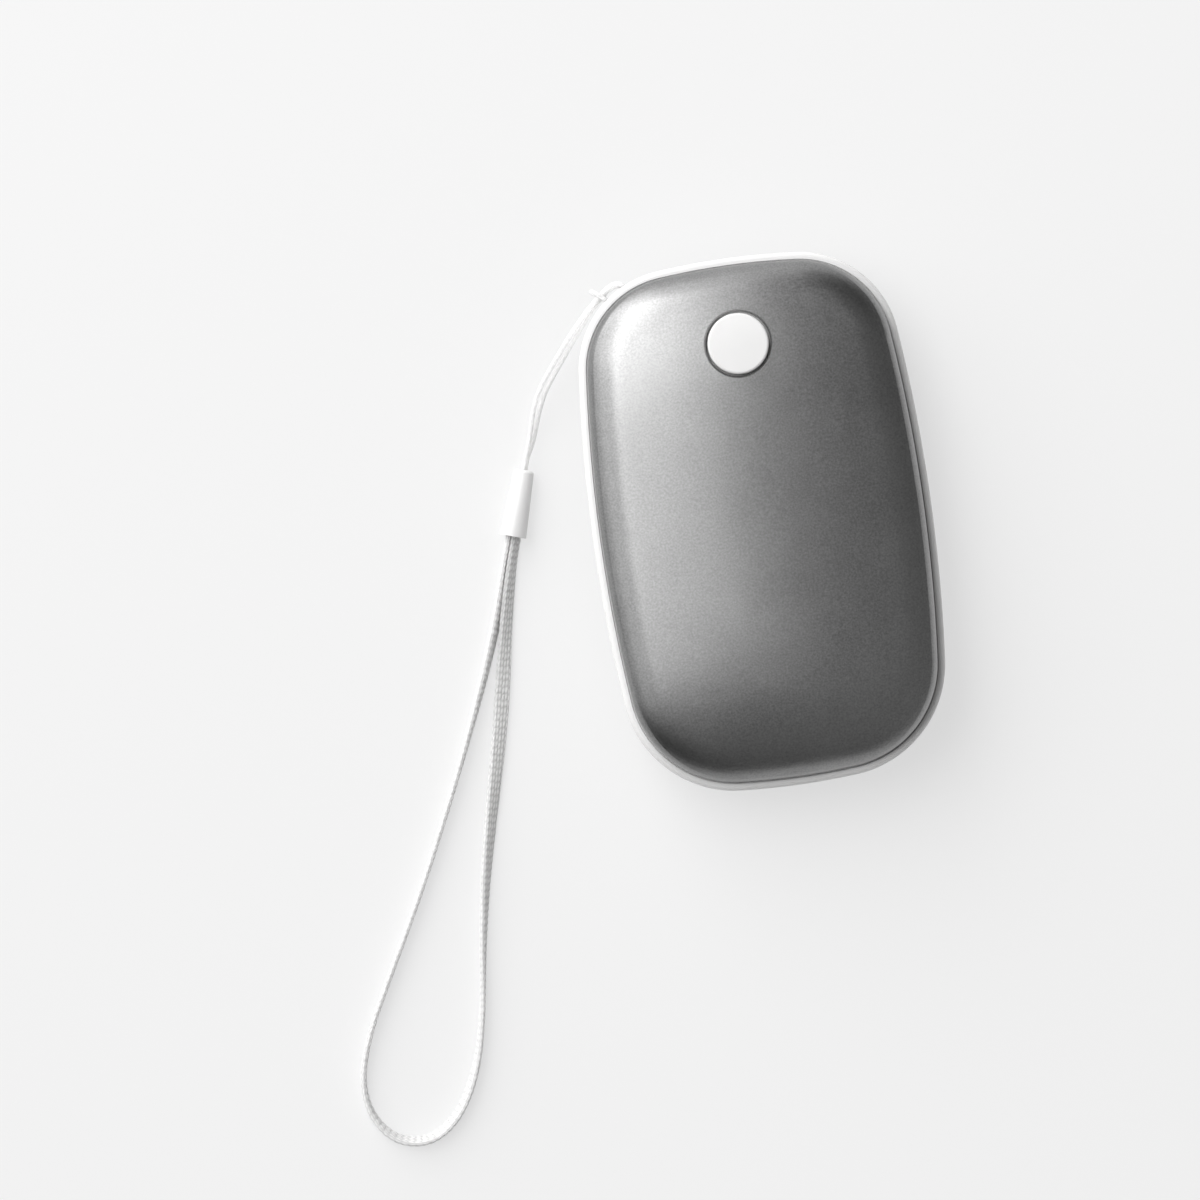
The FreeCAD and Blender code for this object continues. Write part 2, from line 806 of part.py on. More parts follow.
def usb_a_insert():
    """The block that closes the back of the wide socket, with its tongue."""
    back = port_face - usb_a_length
    width = usb_a_width - 2 * shell_wall - 2 * insert_gap
    height = usb_a_height - 2 * shell_wall - 2 * insert_gap
    middle = board_top + usb_a_height / 2
    block = rounded_bar(width, height, port_corner, usb_a_x, middle, back + usb_a_block, back)
    top = board_top + usb_a_height - shell_wall - usb_a_tongue_drop
    low = Vector(usb_a_x - usb_a_tongue_width / 2, back, top - usb_a_tongue_thickness)
    high = Vector(usb_a_x + usb_a_tongue_width / 2, port_face - usb_a_tongue_setback, top)
    return block.fuse(box(low, high)).removeSplitter()


def usb_a_contacts():
    """Four flat contacts under the tongue."""
    face = board_top + usb_a_height - shell_wall - usb_a_tongue_drop - usb_a_tongue_thickness
    back = port_face - usb_a_length + usb_a_block
    front = port_face - 2 * usb_a_tongue_setback
    strips = []
    first = usb_a_x - usb_a_contact_pitch * (usb_a_contact_count - 1) / 2
    for place in range(usb_a_contact_count):
        x = first + usb_a_contact_pitch * place
        low = Vector(x - usb_a_contact_width / 2, back, face - usb_a_contact_thickness)
        strips.append(box(low, Vector(x + usb_a_contact_width / 2, front, face)))
    return strips


def usb_c_shell():
    middle = board_top + usb_c_height / 2
    back = port_face - usb_c_length
    corner = round_share * usb_c_height / 2
    outer = rounded_bar(usb_c_width, usb_c_height, corner, usb_c_x, middle, port_face, back)
    inner_height = usb_c_height - 2 * shell_wall
    inner = rounded_bar(usb_c_width - 2 * shell_wall, inner_height, round_share * inner_height / 2,
                        usb_c_x, middle, port_face + overrun, back - overrun)
    return outer.cut(inner)


def usb_c_insert():
    """The block that closes the back of the small socket, with its thin tongue."""
    middle = board_top + usb_c_height / 2
    back = port_face - usb_c_length
    height = usb_c_height - 2 * shell_wall - 2 * insert_gap
    width = usb_c_width - 2 * shell_wall - 2 * insert_gap
    block = rounded_bar(width, height, round_share * height / 2, usb_c_x, middle, back + usb_c_block, back)
    reach = usb_c_tongue_width / 2
    half = usb_c_tongue_thickness / 2
    low = Vector(usb_c_x - reach, back, middle - half)
    high = Vector(usb_c_x + reach, port_face - usb_c_tongue_setback, middle + half)
    return block.fuse(box(low, high)).removeSplitter()


def film(depth):
    """A heating film that follows the crown at a depth under the outside of the cover."""
    sheet = prism(heater_inset, mid_height, body_thickness)
    return sheet.common(crown_block(depth)).cut(crown_block(depth + heater_thickness))


def front_heater():
    hole = cylinder(guide_outer_radius + heater_button_gap, 0, button_y, 0, body_thickness)
    return film(cover_wall + glue_gap).cut(hole)


def back_heater():
    flat = prism(0, 0, body_thickness - cover_wall - glue_gap)
    inner_flat = prism(0, 0, body_thickness - cover_wall - glue_gap - heater_thickness)
    sheet = prism(heater_inset, mid_height, body_thickness)
    top = crown_block(cover_wall + glue_gap - rest_land_depth).common(flat)
    under = crown_block(cover_wall + glue_gap + heater_thickness - rest_land_depth).common(inner_flat)
    return flipped(sheet.common(top).cut(under))


def pad(depth, lift, radius):
    """Foam between a heating film and the round backs of the cells or the tray."""
    block = prism(pad_inset, body_thickness - pad_depth - cover_wall, body_thickness - depth + lift)
    far = Vector(half_width, cell_end - pad_depth, body_thickness)
    limits = box(Vector(-half_width, cell_start + pad_depth, 0), far)
    block = block.common(crown_block(depth - lift)).common(limits)
    return block.cut(cell_bores(radius, -body_length, body_length))


def front_pad():
    return pad(cover_wall + glue_gap + heater_thickness + pad_gap, 0, cell_radius + pad_gap)


def back_pad():
    depth = cover_wall + glue_gap + heater_thickness + pad_gap
    foam = pad(depth, rest_land_depth, tray_radius + pad_gap)
    flat = prism(0, 0, body_thickness - depth)
    return flipped(foam.common(flat))


def corner_arcs(points):
    """For each inner point of a route, the start, middle and end of the arc that rounds it."""
    arcs = []
    for before, point, after in zip(points, points[1:], points[2:]):
        run_in = point - before
        run_out = after - point
        trim = arc_share * min(run_in.Length, run_out.Length)
        start = point - run_in.normalize() * trim
        end = point + run_out.normalize() * trim
        half_turn = run_in.getAngle(run_out) / 2
        radius = trim / math.tan(half_turn)
        inward = (start + end - point * 2).normalize()
        middle = point + inward * (radius / math.cos(half_turn) - radius)
        arcs.append((start, middle, end, radius))
    return arcs


def route_wire(points):
    """Straight runs joined by tangent arcs."""
    edges = []
    here = points[0]
    for start, middle, end, radius in corner_arcs(points):
        edges.append(Part.LineSegment(here, start).toShape())
        edges.append(Part.Arc(start, middle, end).toShape())
        here = end
    edges.append(Part.LineSegment(here, points[-1]).toShape())
    return Part.Wire(edges)


def say_route(name, points, section):
    """Print a route's length and radii, and the volume that its solid should have."""
    length = route_wire(points).Length
    radii = [round(arc[3], 1) for arc in corner_arcs(points)]
    print(name, "length", round(length, 1), "volume", round(length * section, 1), "radii", radii)


def ferrule_axis():
    """The ferrule's narrow end, its direction towards the strap, and the direction across it."""
    height = ferrule_mouth_radius + ferrule_lift
    top = Vector(ferrule_top[0], ferrule_top[1], height)
    mouth = Vector(ferrule_mouth[0], ferrule_mouth[1], height)
    along = mouth - top
    length = along.Length
    along = along / length
    return top, along, Vector(along.y, -along.x, 0), length


def strap_ferrule():
    top, along, across, length = ferrule_axis()
    cone = Part.makeCone(ferrule_top_radius, ferrule_mouth_radius, length, top, along)
    ends = [e for e in cone.Edges if e.Closed]
    narrow = [e for e in ends if e.Length < 2 * math.pi * (ferrule_top_radius + ferrule_mouth_radius) / 2]
    wide = [e for e in ends if e.Length > 2 * math.pi * (ferrule_top_radius + ferrule_mouth_radius) / 2]
    return cone.makeFillet(ferrule_top_round, narrow).makeFillet(ferrule_mouth_round, wide)


def strand(side):
    """One strand from the ferrule to the hitch: on top of the other at the eye, beside it at the ferrule."""
    top, along, across, length = ferrule_axis()
    middles = [Vector(*place) for place in strand_route]
    points = []
    line = middles + [top - along * strand_lead]
    for here, after, share in zip(line, line[1:], strand_turn_shares):
        run = (after - here).normalize()
        beside = Vector(run.y, -run.x, 0).normalize()
        turn = math.radians(90 * share)
        offset = beside * math.cos(turn) + Vector(0, 0, 1) * math.sin(turn)
        points.append(here + offset * (side * strand_step))
    offset = across * (side * strand_step)
    points += [line[-1] + offset, top + offset]
    return points[::-1]


def hitch(side):
    """Half of the hitch: past the crossing, into one hole, behind the bridge and out of the other."""
    inside = -eye_bridge - eye_channel / 2
    first = -eye_pitch / 2
    second = eye_pitch / 2
    level = side * strand_step
    return [
        eye_point(hitch_cross, hitch_stand, level),
        eye_point(first, hitch_stand, level),
        eye_point(first, inside, level),
        eye_point(second, inside, level),
        eye_point(second, -hitch_mouth, level),
        eye_point(second, hitch_shoulder, side * hitch_rise),
        eye_point(second, hitch_reach, side * hitch_rise),
    ]


def lanyard_points():
    upper = strand(1) + hitch(1)
    lower = strand(-1) + hitch(-1)
    return upper + lower[::-1]


def lanyard_cord():
    points = lanyard_points()
    section = math.pi * cord_diameter ** 2 / 4
    say_route("lanyard_cord", points, section)
    path = route_wire(points)
    run = (points[1] - points[0]).normalize()
    circle = Part.Wire(Part.Circle(points[0], run, cord_diameter / 2).toShape())
    tube = path.makePipeShell([circle], True, False)
    print("lanyard_cord solid volume", round(tube.Volume, 1))
    return tube


def strap_points():
    top, along, across, length = ferrule_axis()
    mouth = top + along * length
    reach = strap_side_gap + strap_thickness / 2
    ends = [mouth + across * reach, mouth - across * reach]
    leads = [end + along * strap_lead for end in ends]
    flat = [ends[0], leads[0]] + [Vector(x, y, 0) for x, y in strap_route] + [leads[1], ends[1]]
    return [Vector(point.x, point.y, strap_lift) for point in flat]


def wrist_strap():
    """The strap's thickness on both sides of its route, raised to its width."""
    points = strap_points()
    say_route("wrist_strap", points, strap_width * strap_thickness)
    sides = [strap_side(points, strap_thickness / 2), strap_side(points, -strap_thickness / 2)]
    ends = [Part.LineSegment(sides[0][0], sides[1][0]).toShape(),
            Part.LineSegment(sides[0][-1], sides[1][-1]).toShape()]
    edges = side_edges(sides[0]) + side_edges(sides[1]) + ends
    face = Part.Face(Part.Wire(Part.__sortEdges__(edges)))
    band = face.extrude(Vector(0, 0, strap_width))
    print("wrist_strap solid volume", round(band.Volume, 1))
    return band


def strap_side(points, offset):
    """The route moved sideways: its first point, three points of each arc, and its last point."""
    def beside(run):
        return Vector(-run.y, run.x, 0).normalize() * offset

    moved = [points[0] + beside(points[1] - points[0])]
    for before, point, after, arc in zip(points, points[1:], points[2:], corner_arcs(points)):
        start = arc[0] + beside(point - before)
        end = arc[2] + beside(after - point)
        middle = arc[1] + beside(arc[2] - arc[0])
        moved += [start, middle, end]
    moved.append(points[-1] + beside(points[-1] - points[-2]))
    return moved


def side_edges(moved):
    edges = []
    for place in range(0, len(moved) - 1, 3):
        edges.append(Part.LineSegment(moved[place], moved[place + 1]).toShape())
        if place + 3 < len(moved):
            edges.append(Part.Arc(moved[place + 1], moved[place + 2], moved[place + 3]).toShape())
    return edges


pieces = {
    "mid_frame": mid_frame(),
    "front_cover": front_cover(),
    "back_cover": back_cover(),
    "power_button": power_button(),
    "button_guide": button_guide(),
    "switch_base": switch_base(),
    "switch_dome": switch_dome(),
    "switch_plunger": switch_plunger(),
    "switch_plate": switch_plate(),
    "battery_cell_left": battery_cell(-1),
    "battery_cell_right": battery_cell(1),
    "plus_tab": plus_tab(),
    "minus_tab": minus_tab(),
    "battery_tray": battery_tray(),
    "tray_screws": tray_screws(),
    "circuit_board": circuit_board(),
    "board_screws": board_screws(),
    "controller_chip": controller_chip(),
    "power_inductor": power_inductor(),
    "switching_transistors": switching_transistors(),
    "board_capacitors": board_capacitors(),
    "status_leds": status_leds(),
    "usb_a_shell": usb_a_shell(),
    "usb_a_insert": usb_a_insert(),
    "usb_a_contacts": usb_a_contacts(),
    "usb_c_shell": usb_c_shell(),
    "usb_c_insert": usb_c_insert(),
    "front_heater": front_heater(),
    "back_heater": back_heater(),
    "front_pad": front_pad(),
    "back_pad": back_pad(),
    "lanyard_cord": lanyard_cord(),
    "strap_ferrule": strap_ferrule(),
    "wrist_strap": wrist_strap(),
}

os.makedirs("parts", exist_ok=True)
for name, shape in pieces.items():
    solids = shape if isinstance(shape, list) else shape.Solids
    whole = solids[0] if len(solids) == 1 else Part.makeCompound(solids)
    print(name, len(solids), "solids", round(whole.Volume, 1), "valid", whole.isValid())
    whole.exportStep("parts/" + name + ".step")
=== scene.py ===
# %% [markdown]
# # A rechargeable hand warmer on its wrist strap
# The warmer is a pocket-sized pebble: two crowned metal covers on a white moulded frame, one round
# button, and a woven strap that hangs from an eye in the frame's corner. Its solids come from the
# CAD model, and this lesson dresses them. We load the solids first and never move them.

# %% Load the frame
import json
import math

import bpy
import numpy as np
from mathutils import Matrix, Quaternion, Vector


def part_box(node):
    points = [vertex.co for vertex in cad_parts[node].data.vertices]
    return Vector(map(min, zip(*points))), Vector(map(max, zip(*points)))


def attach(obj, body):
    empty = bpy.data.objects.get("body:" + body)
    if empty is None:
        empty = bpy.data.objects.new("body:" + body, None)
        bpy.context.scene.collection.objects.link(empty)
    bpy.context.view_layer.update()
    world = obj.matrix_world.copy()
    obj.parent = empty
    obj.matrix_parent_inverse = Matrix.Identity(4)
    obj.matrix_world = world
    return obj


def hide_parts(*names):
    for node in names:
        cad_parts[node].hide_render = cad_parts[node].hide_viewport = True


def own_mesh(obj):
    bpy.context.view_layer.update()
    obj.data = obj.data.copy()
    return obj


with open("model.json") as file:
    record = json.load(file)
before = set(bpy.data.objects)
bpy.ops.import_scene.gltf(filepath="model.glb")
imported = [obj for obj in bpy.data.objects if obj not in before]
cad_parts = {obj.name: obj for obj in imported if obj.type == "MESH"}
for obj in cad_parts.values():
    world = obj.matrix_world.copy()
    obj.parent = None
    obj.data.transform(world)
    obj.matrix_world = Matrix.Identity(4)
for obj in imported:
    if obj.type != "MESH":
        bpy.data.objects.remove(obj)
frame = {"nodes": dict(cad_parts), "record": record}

MM = 0.001
SMOOTH_ANGLE = math.radians(40)
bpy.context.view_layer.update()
nodes = frame["nodes"]
scene = bpy.context.scene
scene.view_settings.view_transform = "Standard"


# %% [markdown]
# ## The camera
# The picture is taken straight from above with a long lens, so almost no side of the body shows.
# A camera could be aimed with a constraint, but straight down needs no aiming: an unturned camera
# already looks down, and one turn about the vertical sets how the warmer leans in the picture.

# %% Camera
VIEW_CENTRE = Vector((-32.29, -10.33, 0.0)) * MM
VIEW_HEIGHT = 1300 * MM
VIEW_TURN = -0.1405
VIEW_SENSOR = 36.0
VIEW_LENS = 204.6
camera_data = bpy.data.cameras.new("camera")
camera_data.sensor_width = VIEW_SENSOR
camera_data.lens = VIEW_LENS
camera = bpy.data.objects.new("camera", camera_data)
camera.location = VIEW_CENTRE + Vector((0.0, 0.0, VIEW_HEIGHT))
camera.rotation_euler = (0.0, 0.0, VIEW_TURN)
scene.collection.objects.link(camera)
scene.camera = camera
RIGHT = Vector((math.cos(VIEW_TURN), math.sin(VIEW_TURN), 0.0))
UP = Vector((-math.sin(VIEW_TURN), math.cos(VIEW_TURN), 0.0))
print("camera lens", VIEW_LENS, "mm, turned", round(math.degrees(VIEW_TURN), 2), "degrees")


# %% [markdown]
# ## Writing shaders as sums
# A finish is a small graph of nodes. Wiring each node by hand is slow to read, so one class wraps a
# node's output and turns ordinary arithmetic into Math nodes, and one method adds any other node.

# %% Shader sums
class Wire:
    """A node's output. Sums written with it become Math nodes."""

    def __init__(self, tree, out):
        self.tree = tree
        self.out = out

    def math(self, operation, left, right):
        node = self.tree.nodes.new("ShaderNodeMath")
        node.operation = operation
        for place, value in enumerate((left, right)):
            if isinstance(value, Wire):
                self.tree.links.new(value.out, node.inputs[place])
            else:
                node.inputs[place].default_value = value
        return Wire(self.tree, node.outputs[0])

    def __add__(self, other):
        return self.math("ADD", self, other)

    def __sub__(self, other):
        return self.math("SUBTRACT", self, other)

    def __rsub__(self, other):
        return self.math("SUBTRACT", other, self)

    def __mul__(self, other):
        return self.math("MULTIPLY", self, other)

    def __pow__(self, other):
        return self.math("POWER", self, other)

    def above(self, other):
        return self.math("GREATER_THAN", self, other)


print("shader sums ready")


# %% Shader trees
class Nodes:
    """A node tree, with one way to add a node to it."""

    def __init__(self, tree):
        self.tree = tree

    def feed(self, target, value):
        if isinstance(value, Wire):
            self.tree.links.new(value.out, target)
        else:
            target.default_value = value

    def node(self, kind, settings=(), sockets=(), output=0):
        made = self.tree.nodes.new(kind)
        for name, value in dict(settings).items():
            setattr(made, name, value)
        for name, value in dict(sockets).items():
            self.feed(made.inputs[name], value)
        return Wire(self.tree, made.outputs[output])

    def mix(self, share, first, second):
        """A colour between two. The node's sockets 0, 6 and 7 are the share and the colours."""
        return self.node(
            "ShaderNodeMix", {"data_type": "RGBA"}, {0: share, 6: first, 7: second}, 2)

    def noise(self, where, size, detail=2.0):
        """Cloudy values round 0.5, with spots about size across."""
        return self.node("ShaderNodeTexNoise", {},
                         {"Vector": where, "Scale": 1.0 / size, "Detail": detail})

    def streaks(self, where, stretch, detail):
        """The same cloudy values, drawn out into lines: stretch is the scale on each axis."""
        lines = self.node("ShaderNodeMapping", {}, {"Vector": where, "Scale": stretch})
        return self.noise(lines, 1.0, detail)

    def place(self):
        return self.node("ShaderNodeTexCoord", output="Object")

    def uv(self):
        return self.node("ShaderNodeTexCoord", output="UV")


class Finish(Nodes):
    """A material in the making: one Principled shader and the nodes that feed it."""

    def __init__(self, name, **constants):
        self.material = bpy.data.materials.new(name)
        self.material.use_nodes = True
        super().__init__(self.material.node_tree)
        self.shader = self.tree.nodes["Principled BSDF"]
        self.drive(**constants)

    def drive(self, **values):
        """Sets or links sockets of the shader: specular_ior_level is Specular IOR Level."""
        for key, value in values.items():
            socket = key.replace("_", " ").title().replace("Ior", "IOR")
            self.feed(self.shader.inputs[socket], value)

    def bump(self, height, distance):
        self.drive(normal=self.node(
            "ShaderNodeBump", {}, {"Height": height, "Distance": distance}))


def grey(tone, warm=0.0):
    """A neutral colour, a little warm or cool."""
    return (tone * (1.0 + warm), tone, tone * (1.0 - warm), 1.0)


print("shader trees ready")


# %% [markdown]
# ## Floor and light
# The studio is a white table under one long soft lamp to the upper left, in a dark room with two
# soft bright patches on the left, like windows, and a dim one on the right. Metal shows what stands
# round it, so the patches give the cover its run from bright to dark. Many small lamps could do it
# too, but a patch is one sum: how near a direction is to the patch's middle, to some power. To the
# eye and in mirrors the table is mostly an even glow, which keeps it pale without more lamps.

# %% Floor
FLOOR_SIZE = 24.0
FLOOR_DROP = 0.15 * MM
FLOOR_CLOUD = 180 * MM
GLOW_SHARE = 0.7
bpy.ops.object.select_all(action="DESELECT")
bpy.ops.mesh.primitive_plane_add(size=FLOOR_SIZE, location=(0.0, 0.0, -FLOOR_DROP))
floor = bpy.context.object
floor.name = "floor"
bpy.ops.object.transform_apply(location=True)
paper = Finish("white_table", roughness=0.75, specular_ior_level=0.2)
paper.drive(base_color=paper.mix(
    paper.noise(paper.place(), FLOOR_CLOUD), grey(0.92), grey(0.94)))
light_path = paper.tree.nodes.new("ShaderNodeLightPath")
camera_ray, glossy_ray, glass_ray = [
    Wire(paper.tree, light_path.outputs[name])
    for name in ("Is Camera Ray", "Is Glossy Ray", "Is Transmission Ray")]
seen = camera_ray + glossy_ray + glass_ray
haze = paper.node("ShaderNodeEmission", {}, {"Color": grey(0.90), "Strength": 1.0})
table_top = Wire(paper.tree, paper.shader.outputs[0])
lit = paper.node("ShaderNodeMixShader", {}, {0: seen * GLOW_SHARE, 1: table_top, 2: haze})
paper.feed(paper.tree.nodes["Material Output"].inputs["Surface"], lit)
floor.data.materials.append(paper.material)
print("floor", floor.dimensions.x, "m across")

# %% Lamp
KEY_LEFT = 24.7
KEY_UP = 32.6
KEY_AWAY = 0.9
KEY_WIDE = 0.39
KEY_TALL = 1.2
KEY_SPIN = 6.8
KEY_POWER = 6.1
key_way = (Vector((0, 0, 1)) - RIGHT * math.tan(math.radians(KEY_LEFT)) +
           UP * math.tan(math.radians(KEY_UP))).normalized()
key_data = bpy.data.lights.new("key_lamp", "AREA")
key_data.shape = "RECTANGLE"
key_data.size = KEY_WIDE
key_data.size_y = KEY_TALL
key_data.energy = KEY_POWER
key = bpy.data.objects.new("key_lamp", key_data)
key.location = key_way * KEY_AWAY
level = (RIGHT - key_way * RIGHT.dot(key_way)).normalized()
level.rotate(Quaternion(key_way, math.radians(KEY_SPIN)))
key.rotation_euler = Matrix((level, key_way.cross(level), key_way)).transposed().to_euler()
scene.collection.objects.link(key)
print("key lamp", KEY_POWER, "W,", KEY_WIDE, "by", KEY_TALL, "m")

# %% Room
# Each patch: turn from the picture's right and height, in degrees, then strength and tightness
WINDOW_HIGH = (162, 37, 2.5, 18)
WINDOW_LOW = (125, -6, 4.9, 18)
FAR_WALL = (-34, 38, 0.3, 3.6)
ROOM_DARK = 0.005
world = bpy.data.worlds.new("room")
world.use_nodes = True
scene.world = world
room = Nodes(world.node_tree)
room_way = room.node("ShaderNodeTexCoord", output="Generated")


def glow(turn, height, strength, tightness):
    """A soft bright patch of the room, brightest at its middle."""
    turn, height = math.radians(turn), math.radians(height)
    round_way = RIGHT * math.cos(turn) + UP * math.sin(turn)
    way = round_way * math.cos(height) + Vector((0, 0, math.sin(height)))
    lean = room.node("ShaderNodeVectorMath", {"operation": "DOT_PRODUCT"},
                     {0: room_way, 1: tuple(way)}, "Value")
    return (lean * 0.5 + 0.5) ** tightness * strength


room_light = glow(*WINDOW_HIGH) + glow(*WINDOW_LOW) + glow(*FAR_WALL) + ROOM_DARK
room.feed(world.node_tree.nodes["Background"].inputs["Color"], room_light)
print("room nodes:", len(world.node_tree.nodes))


# %% [markdown]
# ## Reading a cord's line
# A cord is one smooth line. We type a few points of its route, give them to a NURBS spline, and
# read the spline back as a fine chain of points. The chain is spaced evenly, so that a weave laid
# along it keeps its pitch. A bevelled curve could draw the cord at once, but a plain tube shows no
# yarn, so the surface is laid round the chain ring by ring.

# %% Cord lines
SPLINE_FINENESS = 40


def smooth_line(name, route):
    """The points of a NURBS spline with the route's points as its control points."""
    curve = bpy.data.curves.new(name, "CURVE")
    curve.dimensions = "3D"
    spline = curve.splines.new("NURBS")
    spline.points.add(len(route) - 1)
    for point, place in zip(spline.points, route):
        point.co = (*place, 1.0)
    spline.order_u = 3
    spline.use_endpoint_u = True
    spline.resolution_u = SPLINE_FINENESS
    holder = bpy.data.objects.new(name, curve)
    mesh = bpy.data.meshes.new_from_object(holder)
    line = np.array([v.co for v in mesh.vertices])
    bpy.data.objects.remove(holder)
    bpy.data.curves.remove(curve)
    bpy.data.meshes.remove(mesh)
    return line


def even_line(line, step):
    """The same line in equal steps, and how far along it each point lies."""
    runs = np.linalg.norm(np.diff(line, axis=0), axis=1)
    reach = np.concatenate([[0.0], np.cumsum(runs)])
    places = np.linspace(0.0, reach[-1], int(round(reach[-1] / step)) + 1)
    return np.stack([np.interp(places, reach, line[:, k]) for k in range(3)], axis=1), places


def headings(line):
    """The direction of the line at each point."""
    ways = np.gradient(line, axis=0)
    return ways / np.linalg.norm(ways, axis=1)[:, None]


print("cord lines ready")


# %% Cord surfaces
def ring_mesh(name, rings):
    """A closed tube through rings of points, with a UV map that runs round and along it."""
    count, around = rings.shape[:2]
    where = np.arange(count * around).reshape(count, around)
    first, second = where[:-1], where[1:]
    faces = np.stack([first, np.roll(first, -1, 1), np.roll(second, -1, 1), second], axis=2)
    faces = [tuple(face) for face in faces.reshape(-1, 4).tolist()]
    faces += [tuple(where[0][::-1].tolist()), tuple(where[-1].tolist())]
    mesh = bpy.data.meshes.new(name)
    mesh.from_pydata(rings.reshape(-1, 3).tolist(), [], faces)
    mesh.shade_smooth()
    layer = mesh.uv_layers.new(name="along")
    turn, run = np.meshgrid(np.arange(around), np.arange(count - 1))
    corners = np.stack([np.stack([turn + a, run + b], 2) for a, b in
                        ((0, 0), (1, 0), (1, 1), (0, 1))], axis=2).reshape(-1, 2).astype(float)
    corners /= (around, count - 1)
    flat = np.zeros((len(mesh.loops), 2))
    flat[:len(corners)] = corners
    layer.data.foreach_set("uv", flat.astype(np.float32).ravel())
    mesh.update()
    piece = bpy.data.objects.new(name, mesh)
    scene.collection.objects.link(piece)
    return piece


def keep_relief(piece, relief):
    """Stores how high each point of a weave stands, from 0 in the grooves to 1 on the yarns."""
    layer = piece.data.attributes.new("yarn", "FLOAT", "POINT")
    layer.data.foreach_set("value", relief.astype(np.float32).ravel())


def triangles(piece):
    piece.data.calc_loop_triangles()
    return len(piece.data.loop_triangles)


print("cord surfaces ready")


# %% [markdown]
# ## The wrist strap
# The strap is a flat braid, white and limp, about 3 mm wide and 1.1 mm thick. It stands on edge
# down its left strand, leans in the loop and lies nearly flat up the right one, so each route point
# carries a turn: 90 degrees is on edge, 0 or 180 is flat. A bump could fake the yarns, but a side
# view would show it, so they are real relief: twelve columns of slanting stitches run along the
# braid, every other one a little out of step, and the edges are smoother.

# %% Strap route
STRAP_WIDE = 3.0 * MM
STRAP_THICK = 1.1 * MM
STRAP_LIFT = 0.06 * MM
STRAP_APART = 0.53 * MM
STRAP_TUCK = 2.6 * MM
STRAP_LEAD = 6.0 * MM
STRAP_STEP = 0.18 * MM
TUCK_DROP = 0.5 * MM
MOUTH_DROP = 0.7 * MM
ON_EDGE = 90
MOUTH = Vector((-46.98, 3.93, 2.6)) * MM
TOP = Vector((-43.08, 16.17, 2.6)) * MM
ALONG = (MOUTH - TOP).normalized()
ACROSS = Vector((ALONG.y, -ALONG.x, 0.0))
# X and Y in millimetres, and the turn in degrees
strap_route = [
    (-52.9, -13.2, 68), (-57.6, -25.2, 78), (-63.2, -38.1, 88), (-68.9, -50.4, 90),
    (-75.0, -62.8, 90), (-81.7, -75.2, 90), (-87.6, -86.4, 90), (-90.2, -95.6, 88),
    (-88.8, -102.6, 80), (-84.2, -107.3, 68), (-77.8, -107.7, 64), (-72.2, -103.4, 68),
    (-68.0, -95.6, 76), (-65.3, -85.0, 86), (-63.7, -73.0, 98), (-61.5, -60.6, 114),
    (-58.7, -48.6, 133), (-55.8, -37.0, 155), (-53.2, -25.4, 166), (-50.9, -13.4, 142)]
first_turns = [72, 70, 68]
last_turns = [122, 116, 114]


def strap_height(turn):
    """How high the middle of the strap lies over the table at this turn."""
    upright = math.sin(math.radians(turn))
    return STRAP_LIFT + STRAP_THICK / 2 + (STRAP_WIDE - STRAP_THICK) / 2 * upright


def strap_end(side):
    """The three points by which a strap end leaves the ferrule, from the inside out."""
    start = MOUTH + ACROSS * (side * STRAP_APART)
    return [(*(start - ALONG * STRAP_TUCK).xy, MOUTH.z - TUCK_DROP),
            (*start.xy, MOUTH.z - MOUTH_DROP),
            (*(start + ALONG * STRAP_LEAD).xy, strap_height(ON_EDGE))]


loop_points = [(x * MM, y * MM, strap_height(t)) for x, y, t in strap_route]
strap_points = strap_end(1) + loop_points + strap_end(-1)[::-1]
strap_turns = first_turns + [t for x, y, t in strap_route] + last_turns
strap_line, strap_run = even_line(smooth_line("strap_line", strap_points), STRAP_STEP)
print("strap", round(strap_run[-1] / MM, 1), "mm in", len(strap_line), "rings")

# %% Strap section and turn
STITCH_COLUMNS = 12
COLUMN_POINTS = 5
TURN_SMOOTHING = 51


def nearest_turns(line, points, turns):
    """The strap's turn at each point of its line, from the turns typed at the route points."""
    marks = [int(np.argmin(np.linalg.norm(line - np.array(p), axis=1))) for p in points]
    marks[0], marks[-1] = 0, len(line) - 1
    raw = np.interp(np.arange(len(line)), marks, turns)
    soft = np.hanning(TURN_SMOOTHING)
    padded = np.pad(raw, TURN_SMOOTHING // 2, mode="edge")
    return np.radians(np.convolve(padded, soft / soft.sum(), "valid"))


def braid_outline(share):
    """A point of the strap's rounded section and its outward direction, at a share of its round."""
    radius = STRAP_THICK / 2
    flat = STRAP_WIDE - STRAP_THICK
    bend_run = math.pi * radius
    run = share * 2 * (flat + bend_run)
    sign = 1
    if run >= flat + bend_run:
        sign = -1
        run -= flat + bend_run
    if run < flat:
        return (sign * (run - flat / 2), -sign * radius, 0.0, -sign)
    bend = (run - flat) / radius
    return (sign * (flat / 2 + radius * math.sin(bend)), -sign * radius * math.cos(bend),
            sign * math.sin(bend), -sign * math.cos(bend))


strap_around = STITCH_COLUMNS * COLUMN_POINTS
shares = np.arange(strap_around) / strap_around
outline = np.array([braid_outline(s) for s in shares])
strap_turn = nearest_turns(strap_line, strap_points, strap_turns)
print("strap section", len(outline), "points, turned", round(math.degrees(strap_turn.min())),
      "to", round(math.degrees(strap_turn.max())), "degrees")

